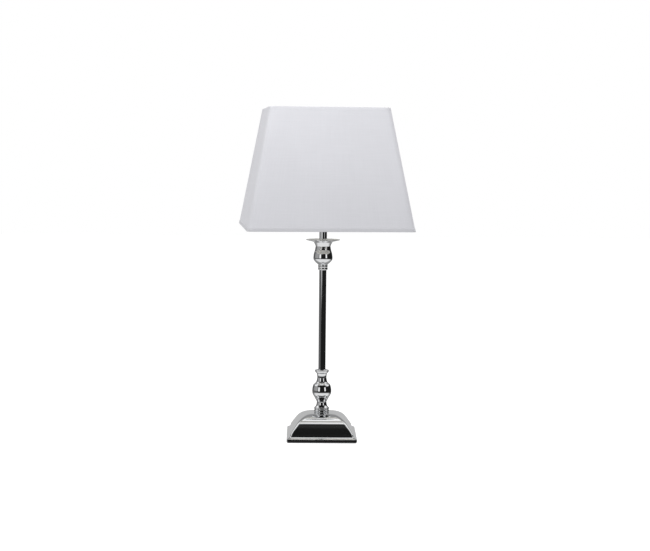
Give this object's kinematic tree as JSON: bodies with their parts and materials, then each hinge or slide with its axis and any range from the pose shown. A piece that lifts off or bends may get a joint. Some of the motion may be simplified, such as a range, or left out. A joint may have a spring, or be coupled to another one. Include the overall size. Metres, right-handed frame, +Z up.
{
  "type": "table lamp",
  "caption": "Table lamp with a turned chrome stem on a square domed base, a drip pan under the lampholder, a screw-in bulb and a square tapered fabric shade.",
  "frame": {"origin": "on the stem's axis, in the plane of the felt's underside", "axes": "+Z up along the stem, -Y towards the viewer of the picture, +X to the right; the base's sides lie along X and Y"},
  "size_m": [0.318, 0.318, 0.6],
  "materials": {
    "chrome": "bright chrome plate, mirror polished",
    "steel": "zinc-plated steel",
    "iron": "rough casting, dark paint",
    "felt": "short dense felt",
    "bushing": "black insulating plastic",
    "holder": "white moulded plastic",
    "ceramic": "unglazed white ceramic",
    "brass": "nickel-free brass, slightly dull",
    "solder": "solder, satin",
    "bulb_cap": "pressed aluminium, satin",
    "bulb_glass": "opal glass",
    "shade_fabric": "off-white plain weave cotton",
    "shade_liner": "white laminated film",
    "frame_wire": "white powder-coated wire"
  },
  "bodies": {
    "lamp": {"felt_pad": "felt", "bottom_plate": "steel", "base_shell": "chrome", "base_weight": "iron", "cord_grommet": "bushing", "base_washer": "steel", "base_nut": "steel", "tie_rod": "steel", "bead_ring": "chrome", "waist_collar": "chrome", "lower_vase": "chrome", "tulip_collar": "chrome", "column_tube": "chrome", "upper_collar": "chrome", "urn": "chrome", "drip_pan": "chrome", "upper_tube": "chrome", "seat_washer": "steel", "holder_cap": "holder", "holder_grub_screw": "steel", "holder_insert": "ceramic", "screw_shell": "brass", "holder_contact": "brass", "holder_sleeve": "holder", "shade_ring_lower": "holder"},
    "shade": {"shade_fabric": "shade_fabric", "shade_liner": "shade_liner", "shade_hem_bottom": "shade_fabric", "shade_hem_top": "shade_fabric", "shade_seam": "shade_fabric", "shade_frame_bottom": "frame_wire", "shade_frame_top": "frame_wire", "fitter_ring": "frame_wire", "fitter_arm_1": "frame_wire", "fitter_arm_2": "frame_wire", "fitter_arm_3": "frame_wire", "fitter_arm_4": "frame_wire"},
    "shade_ring": {"shade_ring_upper": "holder"},
    "bulb_lift": {"bulb_contact": "solder"},
    "bulb": {"bulb_insulator": "bushing", "bulb_cap": "bulb_cap", "bulb_globe": "bulb_glass"}
  },
  "joints": [
    {"name": "shade_turn", "type": "hinge", "parent": "lamp", "child": "shade", "pos_m": [0, 0, 0.42], "axis": [0, 0, 1], "continuous": true},
    {"name": "shade_ring_turn", "type": "hinge", "parent": "lamp", "child": "shade_ring", "pos_m": [0, 0, 0.43], "axis": [0, 0, 1], "range_deg": [0, 180]},
    {"name": "bulb_rise", "type": "slide", "parent": "lamp", "child": "bulb_lift", "axis": [0, 0, 1], "range_m": [0, 0.0146]},
    {"name": "bulb_turn", "type": "hinge", "parent": "bulb_lift", "child": "bulb", "pos_m": [0, 0, 0.43], "axis": [0, 0, 1], "range_deg": [0, 1440]}
  ],
  "couplings": [
    {"joint": "bulb_rise", "follows": "bulb_turn", "m_per_rad": 0.00057757}
  ]
}
